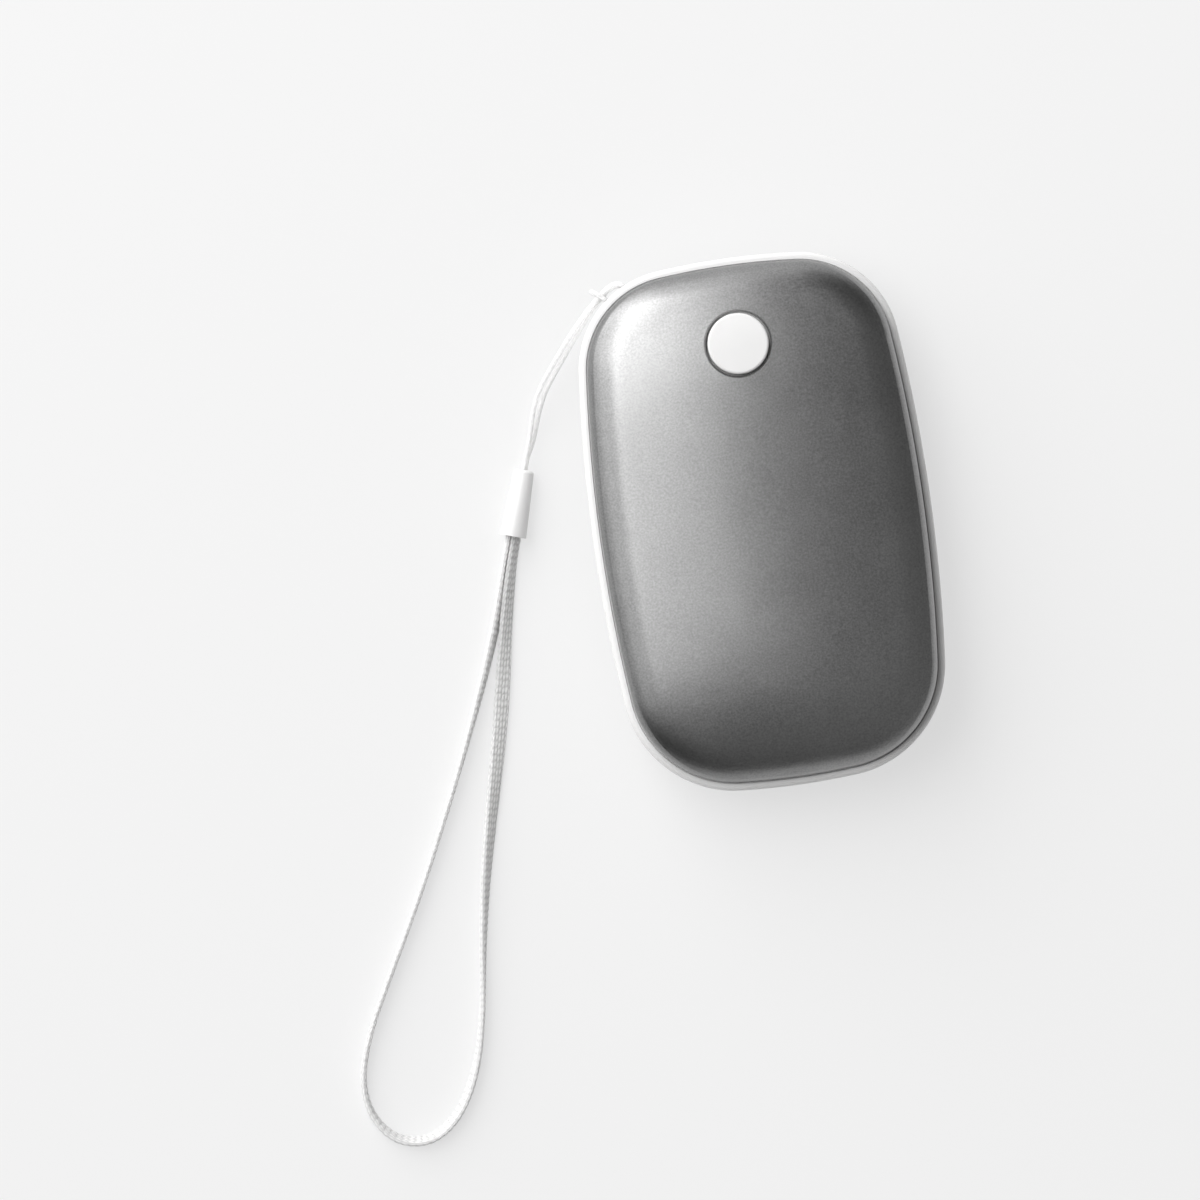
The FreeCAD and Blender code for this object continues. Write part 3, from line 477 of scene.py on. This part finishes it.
# %% Strap weave
STITCH_LONG = 1.3 * MM
STITCH_DEEP = 0.2 * MM
STITCH_SLANT = 0.28
STITCH_FLOOR = 0.15
STITCH_ROUND = 0.8
COLUMN_ROUND = 0.6
STEP_OUT = 0.15
SELVEDGE_FILL = 0.35
PLAIN_LEVEL = 0.8
columns = shares * STITCH_COLUMNS
in_column = np.abs(np.sin(np.pi * columns)) ** COLUMN_ROUND
step_out = (np.floor(columns) % 2) * STEP_OUT
stitch = (strap_run[:, None] / STITCH_LONG + step_out[None, :] +
          STITCH_SLANT * (columns % 1)[None, :])
in_stitch = np.abs(np.sin(np.pi * stitch)) ** STITCH_ROUND
relief = in_column[None, :] * (STITCH_FLOOR + (1.0 - STITCH_FLOOR) * in_stitch)
selvedge = outline[:, 2] ** 2
relief = relief + (1.0 - relief) * SELVEDGE_FILL * selvedge[None, :]
ways = headings(strap_line)
beside = np.cross(ways, (0.0, 0.0, 1.0))
beside /= np.linalg.norm(beside, axis=1)[:, None]
above = np.cross(beside, ways)
wide_way = np.cos(strap_turn)[:, None] * beside + np.sin(strap_turn)[:, None] * above
thick_way = -np.sin(strap_turn)[:, None] * beside + np.cos(strap_turn)[:, None] * above
push = STITCH_DEEP * (relief - PLAIN_LEVEL)
wide = outline[:, 0][None, :] + outline[:, 2][None, :] * push
thick = outline[:, 1][None, :] + outline[:, 3][None, :] * push
rings = (strap_line[:, None, :] + wide[:, :, None] * wide_way[:, None, :] +
         thick[:, :, None] * thick_way[:, None, :])
# The rings run the other way round in the mesh, so that its faces look outward
strap = ring_mesh("woven_wrist_strap", rings[:, ::-1])
keep_relief(strap, relief[:, ::-1])
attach(strap, "root")
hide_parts("wrist_strap")
print("strap weave", triangles(strap), "triangles, lowest point",
      round(float(rings[:, :, 2].min()) / MM, 3), "mm")


# %% [markdown]
# ## The thin cord
# A thin round cord ties the strap to the warmer. Its loop goes through one hole of the eye, behind
# the bridge, out of the other hole, and the two strands pass through the loop's own bight: a cow
# hitch. Both strands then run down side by side, and one rolls over the other before the ferrule.
# The line is again one spline, and each route point carries a lift: 0 puts the strands side by
# side, 1 puts one over the other.

# %% Cord route
CORD_THICK = 0.9 * MM
CORD_STEP = 0.09 * MM
CORNER_ROUND = 19.0 * MM
CORNER_MIDDLE = Vector((-11.368, 30.456, 13.0)) * MM
EYE_ANGLE = math.radians(121.65)
EYE_OUT = Vector((math.cos(EYE_ANGLE), math.sin(EYE_ANGLE), 0.0))
EYE_ALONG = Vector((-EYE_OUT.y, EYE_OUT.x, 0.0))
# From here on in millimetres: the strands, then the hitch along the rim and out from it
CORD_TUCK = 2.2
CORD_LEAD = 2.6
STRAND_STEP = 0.6
STRAND_END = 2.7
STRAND_OUT = 1.35
STRAND_SPREAD = 0.2
HOLE_ALONG = 2.05
HOLE_MOUTH = -0.4
CHANNEL = -2.95
SHOULDER = (2.45, 0.9)
BAR = (3.35, 3.0)
BAR_RISE = 1.75
WELL = TOP / MM + ALONG * CORD_TUCK
NECK = TOP / MM - ALONG * CORD_LEAD
# X, Y and height, and the lift
strand_route = [(*WELL, 0.85), (*(TOP / MM), 0.85), (*NECK, 0.82), (-41.0, 21.3, 2.9, 0.6),
                (-39.6, 26.0, 4.3, 0.25), (-38.1, 29.6, 5.7, 0.04), (-36.6, 31.9, 6.8, 0.0),
                (-33.5, 35.9, 8.6, 0.1), (-29.2, 41.2, 11.2, 0.35)]


def eye_point(along, out, high):
    """A point by the lanyard eye: along the rim, out from it and up, in millimetres."""
    return CORNER_MIDDLE + EYE_OUT * (CORNER_ROUND + out * MM) + EYE_ALONG * (along * MM) + \
        Vector((0, 0, high * MM))


def strand(side):
    """One strand's points from the ferrule up to the hitch, with the left strand over the right."""
    points = []
    for x, y, z, lift in strand_route:
        slope = math.radians(lift * 90)
        offset = ACROSS * math.cos(slope) + Vector((0, 0, math.sin(slope)))
        points.append((Vector((x, y, z)) + offset * side * STRAND_STEP) * MM)
    return points


def hitch(side):
    """One strand's points through the hitch, from the strand's end to the crossing bar."""
    level = side * STRAND_STEP
    crest = side * BAR_RISE
    reach = STRAND_OUT + side * STRAND_SPREAD
    return [eye_point(STRAND_END, reach, level), eye_point(-HOLE_ALONG, reach, level),
            eye_point(-HOLE_ALONG, CHANNEL, level), eye_point(HOLE_ALONG, CHANNEL, level),
            eye_point(HOLE_ALONG, HOLE_MOUTH, level),
            eye_point(*SHOULDER, crest), eye_point(*BAR, crest)]


cord_points = strand(1) + hitch(1) + (strand(-1) + hitch(-1))[::-1]
cord_line, cord_run = even_line(smooth_line("cord_line", cord_points), CORD_STEP)
print("thin cord", round(cord_run[-1] / MM, 1), "mm in", len(cord_line), "rings")

# %% Cord braid
CORD_AROUND = 28
CORD_YARNS = 4
YARN_LAY = 2.6 * MM
YARN_DEEP = 0.05 * MM


def carried_frames(ways):
    """Two directions square to the line, carried along it without spinning."""
    side = np.cross(ways[0], (0.0, 0.0, 1.0))
    side /= np.linalg.norm(side)
    sides = [side]
    for way in ways[1:]:
        side = side - way * np.dot(side, way)
        side = side / np.linalg.norm(side)
        sides.append(side)
    sides = np.array(sides)
    return sides, np.cross(ways, sides)


cord_side, cord_up = carried_frames(headings(cord_line))
spin = np.arange(CORD_AROUND) / CORD_AROUND * 2 * np.pi
lay = cord_run[:, None] / YARN_LAY * 2 * np.pi
one_way = np.cos(CORD_YARNS * spin[None, :] + lay)
other_way = np.cos(CORD_YARNS * spin[None, :] - lay)
yarn = np.maximum(one_way, other_way)
radius = CORD_THICK / 2 - YARN_DEEP * (1 - yarn) / 2
rings = (cord_line[:, None, :] + (radius * np.cos(spin))[:, :, None] * cord_side[:, None, :] +
         (radius * np.sin(spin))[:, :, None] * cord_up[:, None, :])
cord = ring_mesh("thin_lanyard_cord", rings)
keep_relief(cord, (yarn + 1) / 2)
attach(cord, "root")
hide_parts("lanyard_cord")
print("cord braid", triangles(cord), "triangles")


# %% [markdown]
# ## The ferrule
# A small white moulded cap crimps the strap's ends and the cord's together. It is a tapered tube
# with a round-shouldered top and an open mouth. A lathe-like spin would do, but drawing it out of a
# cylinder by extruding and scaling its ends is quicker to follow.

# %% Ferrule shape
FERRULE_LONG = (MOUTH - TOP).length
FERRULE_SIDES = 64
TOP_RADIUS = 1.9 * MM
TOP_LIP = 0.1 * MM
TOP_DEEP = 1.2 * MM
MOUTH_RADIUS = 2.55 * MM
MOUTH_DEEP = 4.6 * MM
MOUTH_TAPER = 0.86
WALL = 0.5 * MM
SHOULDER_ROUND = 0.7 * MM
END_FACING = 0.9
FLAT_FACING = 0.99


def pick_faces(piece, test):
    """Selects the faces whose centre and normal pass the test, and nothing else."""
    bpy.ops.mesh.select_all(action="DESELECT")
    bpy.ops.object.mode_set(mode="OBJECT")
    for face in piece.data.polygons:
        face.select = test(face.center, face.normal)
    bpy.ops.object.mode_set(mode="EDIT")


bpy.ops.object.select_all(action="DESELECT")
bpy.ops.mesh.primitive_cylinder_add(vertices=FERRULE_SIDES, radius=TOP_RADIUS,
                                    depth=FERRULE_LONG, end_fill_type="NGON")
ferrule = bpy.context.object
ferrule.name = "strap_cap"
bpy.ops.object.mode_set(mode="EDIT")
bpy.ops.mesh.select_mode(type="FACE")
pick_faces(ferrule, lambda centre, normal: normal.z < -END_FACING)
bpy.ops.transform.resize(value=(MOUTH_RADIUS / TOP_RADIUS, MOUTH_RADIUS / TOP_RADIUS, 1.0))
bpy.ops.mesh.inset(thickness=WALL)
bpy.ops.mesh.extrude_region_move(TRANSFORM_OT_translate={"value": (0, 0, MOUTH_DEEP)})
bpy.ops.transform.resize(value=(MOUTH_TAPER, MOUTH_TAPER, 1.0))
pick_faces(ferrule, lambda centre, normal: normal.z > END_FACING)
bpy.ops.mesh.bevel(offset=SHOULDER_ROUND, segments=7)
pick_faces(ferrule, lambda centre, normal: normal.z > FLAT_FACING)
bpy.ops.mesh.inset(thickness=TOP_LIP)
bpy.ops.mesh.extrude_region_move(TRANSFORM_OT_translate={"value": (0, 0, -TOP_DEEP)})
bpy.ops.object.mode_set(mode="OBJECT")
print("ferrule", round(FERRULE_LONG / MM, 1), "mm long")

# %% Ferrule in place
EDGE_ROUND = 0.2 * MM
WELD_GAP = 0.004 * MM
ferrule.data.transform((Vector((0, 0, 1)).rotation_difference(-ALONG)).to_matrix().to_4x4())
ferrule.data.transform(Matrix.Translation((TOP + MOUTH) / 2))
rounding = ferrule.modifiers.new("rounding", "BEVEL")
rounding.width = EDGE_ROUND
rounding.segments = 5
rounding.angle_limit = SMOOTH_ANGLE
rounding.use_clamp_overlap = True
bpy.ops.object.modifier_apply(modifier="rounding")
bpy.ops.object.mode_set(mode="EDIT")
bpy.ops.mesh.select_all(action="SELECT")
bpy.ops.mesh.remove_doubles(threshold=WELD_GAP)
bpy.ops.object.mode_set(mode="OBJECT")
bpy.ops.object.shade_smooth_by_angle(angle=SMOOTH_ANGLE)
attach(ferrule, "root")
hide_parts("strap_ferrule")
print("ferrule", triangles(ferrule), "triangles")


# %% [markdown]
# ## Free cords
# The strap and the thin cord are limp and free: each has its own length and thickness, leaves the
# object at one place, and its far end comes back to it. The ferrule is held by the strap.

# %% Free cords
print("strap and cord hang free")


# %% [markdown]
# ## The snap dome
# Under the button a thin steel dome springs the switch back. A stiff dome would be cut by the
# plunger when the button goes down, so this one is a piece of its own. It could be turned from a
# drawn section, but the cap of a sphere is already that shape: we keep what stands over the
# switch's floor, give it the sheet's thickness and set its rim down.

# %% Snap dome shape
DOME_SEGMENTS = 48
DOME_RINGS = 64
DOME_SHEET = 0.12 * MM
DOME_RIM = 0.08 * MM
dome_low, dome_high = [Vector(corner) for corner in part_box("switch_dome")]
dome_rise = dome_high.z - dome_low.z
dome_reach = (dome_high.x - dome_low.x) / 2
dome_radius = (dome_reach ** 2 + dome_rise ** 2) / (2 * dome_rise)
dome_foot = Vector((dome_low.x + dome_reach, dome_low.y + dome_reach, dome_low.z))
bpy.ops.object.select_all(action="DESELECT")
bpy.ops.mesh.primitive_uv_sphere_add(
    segments=DOME_SEGMENTS, ring_count=DOME_RINGS, radius=dome_radius,
    location=(dome_foot.x, dome_foot.y, dome_high.z - dome_radius))
dome = bpy.context.object
dome.name = "snap_dome"
bpy.ops.object.transform_apply(location=True)
bpy.ops.object.mode_set(mode="EDIT")
bpy.ops.mesh.select_mode(type="FACE")
pick_faces(dome, lambda centre, normal: centre.z < dome_low.z)
bpy.ops.mesh.delete(type="FACE")
bpy.ops.object.mode_set(mode="OBJECT")
thickness = dome.modifiers.new("thickness", "SOLIDIFY")
thickness.thickness = DOME_SHEET
thickness.offset = -1.0
bpy.ops.object.modifier_apply(modifier="thickness")
print("snap dome", round(dome_rise / MM, 2), "mm high")

# %% Snap dome rim
bpy.ops.object.mode_set(mode="EDIT")
bpy.ops.mesh.select_mode(type="VERT")
bpy.ops.mesh.select_all(action="DESELECT")
bpy.ops.object.mode_set(mode="OBJECT")
for vertex in dome.data.vertices:
    vertex.select = vertex.co.z < dome_low.z + DOME_RIM
bpy.ops.object.mode_set(mode="EDIT")
bpy.ops.transform.resize(value=(1.0, 1.0, 0.0), center_override=tuple(dome_foot))
bpy.ops.object.mode_set(mode="OBJECT")
bpy.ops.object.shade_smooth_by_angle(angle=SMOOTH_ANGLE)
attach(dome, "root")
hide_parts("switch_dome")
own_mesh(dome)
print("snap dome", triangles(dome), "triangles")


# %% [markdown]
# ## The cover's metal
# The covers are pressed aluminium, blasted and anodised a dark silver. Close up the surface is a
# fine grain that scatters light, and the grain must stay small, or the metal turns into stone.
# Noise changes the colour, the roughness and, through a shallow bump, the way each grain faces.

# %% Cover metal
GRAIN_SIZE = 0.38 * MM
CLOUD_SIZE = 14 * MM
PIT_SIZE = 0.22 * MM
PIT_DEEP = 0.006 * MM
finishes = {}
metal = Finish("blasted_cover_metal", metallic=1.0)
here = metal.place()
grain = metal.noise(here, GRAIN_SIZE, 3.0)
cloud = metal.noise(here, CLOUD_SIZE)
tone = grain * 0.75 + cloud * 0.25
metal.drive(base_color=metal.mix(tone, grey(0.15), grey(0.43)),
            roughness=grain * 0.10 + cloud * 0.04 + 0.265)
metal.bump(metal.noise(here, PIT_SIZE), PIT_DEEP)
finishes["cover_metal"] = metal.material
print("metal nodes:", len(metal.tree.nodes))


# %% [markdown]
# ## White mouldings
# The frame, the button and the ferrule are white plastic. New plastic isn't one flat colour: the
# resin flows leave faint clouds and the mould leaves a fine skin. The frame is glossy, the button
# is satin so that fingers don't mark it, and the ferrule lies between the two.

# %% White plastics
FLOW_SIZE = 6 * MM
SKIN_SIZE = 0.12 * MM


def moulded(name, tone, gloss, skin, warm=0.004):
    """White or dark plastic with faint clouds in its colour and a moulded skin."""
    finish = Finish(name)
    where = finish.place()
    clouds = finish.noise(where, FLOW_SIZE)
    fine = finish.noise(where, SKIN_SIZE)
    darker, lighter = grey(tone * 0.965, warm), grey(tone * 1.015, warm)
    finish.drive(base_color=finish.mix(clouds, darker, lighter),
                 roughness=clouds * 0.06 + fine * 0.08 + gloss)
    finish.bump(fine, skin)
    return finish.material


finishes["frame_white"] = moulded("frame_gloss_white", 0.85, 0.16, 0.0012 * MM)
finishes["button_white"] = moulded("button_satin_white", 0.83, 0.34, 0.004 * MM)
finishes["ferrule_white"] = moulded("ferrule_white", 0.85, 0.22, 0.002 * MM)
print("white plastics: 3")


# %% [markdown]
# ## Yarn
# Strap and cord are white polyester. The relief that we stored on each mesh says where a yarn
# stands proud and where two meet in a groove, so painted shade darkens the grooves, and fine
# streaks along the piece stand for the single threads of each yarn.

# %% Woven finishes
THREAD_DEEP = 0.02 * MM
YARN_GLOW = (1.8, 1.8, 1.8)


def woven(name, groove_shade, crest, threads):
    """White yarn: painted shade darkens the grooves, with streaks for its threads."""
    finish = Finish(name, sheen_weight=0.25, sheen_roughness=0.4, specular_ior_level=0.35,
                    subsurface_weight=1.0, subsurface_radius=YARN_GLOW, subsurface_scale=MM)
    height = finish.node("ShaderNodeAttribute", {"attribute_name": "yarn"}, output="Fac")
    thread = finish.streaks(finish.uv(), threads, 2.0)
    tone = height * 0.72 + thread * 0.28
    # The groove colour is painted shade: the yarn is white all through, and it is darker only where
    # the relief is low
    finish.drive(base_color=finish.mix(tone, grey(groove_shade, 0.006), grey(crest, 0.004)),
                 roughness=0.78 - height * 0.14 - thread * 0.10)
    finish.bump(thread, THREAD_DEEP)
    return finish.material


# The second number is the painted shade in the grooves, and the third is the yarn's own white
finishes["strap_weave"] = woven("strap_weave", 0.48, 0.99, (90.0, 900.0, 1.0))
finishes["cord_thin"] = woven("cord_braid", 0.76, 0.96, (40.0, 500.0, 1.0))
print("yarn finishes: 2")


# %% [markdown]
# ## Metals and plastics inside
# Nothing inside shows while the warmer is closed, except the two sockets at the button end. Each
# inner piece still has its own finish, so that the model can be opened and looked at.

# %% Inner metals
ROLLING_DEEP = 0.002 * MM


def rolled(name, colour, gloss, stretch):
    """Plated sheet metal with fine lines from rolling."""
    finish = Finish(name, metallic=1.0)
    streak = finish.streaks(finish.place(), stretch, 3.0)
    dim = tuple(c * 0.82 for c in colour)
    finish.drive(base_color=finish.mix(streak, (*dim, 1.0), (*colour, 1.0)),
                 roughness=streak * 0.18 + gloss)
    finish.bump(streak, ROLLING_DEEP)
    return finish.material


finishes["steel"] = rolled("plated_steel", (0.62, 0.62, 0.63), 0.18, (4000.0, 500.0, 4000.0))
finishes["nickel"] = rolled("nickel_strip", (0.70, 0.69, 0.66), 0.22, (500.0, 4000.0, 4000.0))
finishes["contact_gold"] = rolled(
    "contact_gold", (0.85, 0.62, 0.25), 0.16, (5000.0, 600.0, 5000.0))
print("inner metals: 3")

# %% Inner plastics
finishes["black_plastic"] = moulded("black_moulding", 0.03, 0.42, 0.004 * MM, 0.0)
finishes["tray_plastic"] = moulded("tray_moulding", 0.62, 0.45, 0.006 * MM, 0.01)
finishes["chip_black"] = moulded("chip_resin", 0.022, 0.50, 0.008 * MM, 0.0)


def tinted(name, low, high, spot, gloss, skin):
    """A coloured finish that changes from low to high in spots of one size."""
    finish = Finish(name)
    spots = finish.noise(finish.place(), spot)
    finish.drive(base_color=finish.mix(spots, (*low, 1.0), (*high, 1.0)),
                 roughness=spots * 0.15 + gloss)
    finish.bump(spots, skin)
    return finish.material


finishes["cell_wrap"] = tinted(
    "cell_sleeve", (0.06, 0.13, 0.25), (0.10, 0.19, 0.34), 2.5 * MM, 0.25, 0.02 * MM)
finishes["ceramic"] = tinted(
    "fired_ceramic", (0.38, 0.27, 0.17), (0.50, 0.38, 0.26), 0.2 * MM, 0.5, 0.004 * MM)
finishes["led_lens"] = tinted(
    "led_lens", (0.84, 0.78, 0.52), (0.93, 0.89, 0.68), 0.4 * MM, 0.12, 0.001 * MM)
print("inner plastics: 6")


# %% [markdown]
# ## Board, heating film and foam
# These three carry a pattern that belongs to how they work: copper tracks under the board's mask,
# one long etched track that heats the film, and the closed cells of the foam. A brick, a wave and a
# cell texture give each its lines at a likely size.

# %% Board
TRACK_LONG = 3.1 * MM
TRACK_PITCH = 0.8 * MM
TRACK_GAP = 0.10 * MM
TRACK_DEEP = 0.02 * MM
MOTTLE_SIZE = 0.5 * MM
MASK_DARK = (0.02, 0.13, 0.06, 1.0)
MASK_LIGHT = (0.06, 0.26, 0.12, 1.0)
board = Finish("board_mask")
where = board.place()
tracks = board.node(
    "ShaderNodeTexBrick", {"offset": 0.35, "squash": 1.6, "squash_frequency": 3},
    {"Vector": where, "Scale": 1.0, "Mortar Size": TRACK_GAP, "Mortar Smooth": 0.1,
     "Brick Width": TRACK_LONG, "Row Height": TRACK_PITCH}, 1)
mottle = board.noise(where, MOTTLE_SIZE)
board.drive(base_color=board.mix(tracks * 0.8 + mottle * 0.2, MASK_DARK, MASK_LIGHT),
            roughness=mottle * 0.15 + 0.28)
board.bump(tracks, TRACK_DEEP)
finishes["board_laminate"] = board.material
print("board nodes:", len(board.tree.nodes))

# %% Heating film and foam
ETCH_PITCH = 2.6 * MM
ETCH_DEEP = 0.01 * MM
STAIN_SIZE = 3 * MM
FILM_BARE = (0.52, 0.24, 0.04, 1.0)
FILM_COPPER = (0.36, 0.14, 0.03, 1.0)
WAVE_UNIT = 20.0 / (2 * math.pi)
film = Finish("heater_film")
where = film.place()
track = film.node("ShaderNodeTexWave", {"bands_direction": "Y", "wave_profile": "TRI"},
                  {"Vector": where, "Scale": 1.0 / (ETCH_PITCH * WAVE_UNIT), "Distortion": 0.0})
copper = track.above(0.45)
stain = film.noise(where, STAIN_SIZE)
film.drive(base_color=film.mix(copper * 0.75 + stain * 0.25, FILM_BARE, FILM_COPPER),
           roughness=0.40 - copper * 0.12)
film.bump(copper, ETCH_DEEP)
finishes["heater_film"] = film.material

FOAM_CELL = 0.7 * MM
FOAM_DEEP = 0.1 * MM
foam = Finish("closed_cell_foam")
cells = foam.node("ShaderNodeTexVoronoi", {"feature": "DISTANCE_TO_EDGE"},
                  {"Vector": foam.place(), "Scale": 1.0 / FOAM_CELL})
foam.drive(base_color=foam.mix(cells * 2.0, grey(0.06), grey(0.10)), roughness=0.92 - cells * 0.2)
foam.bump(cells, FOAM_DEEP)
finishes["foam"] = foam.material
print("finishes in all:", len(finishes))


# %% [markdown]
# ## Dressing
# Each solid's row in the record names a slot, and each slot now has a finish, so one loop dresses
# every solid. The four pieces made here get theirs from a short list. Finishes could be given as
# each piece is made, but in one place none is forgotten.

# %% Dress every node and piece
for row in frame["record"]["subparts"]:
    node = nodes[row["node"]]
    node.data.materials.clear()
    node.data.materials.append(finishes[row["material_slot"]])
made_pieces = ((strap, "strap_weave"), (cord, "cord_thin"), (ferrule, "ferrule_white"),
               (dome, "steel"))
for piece, slot in made_pieces:
    piece.data.materials.append(finishes[slot])
print("dressed:", len(nodes), "nodes and", len(made_pieces), "pieces")
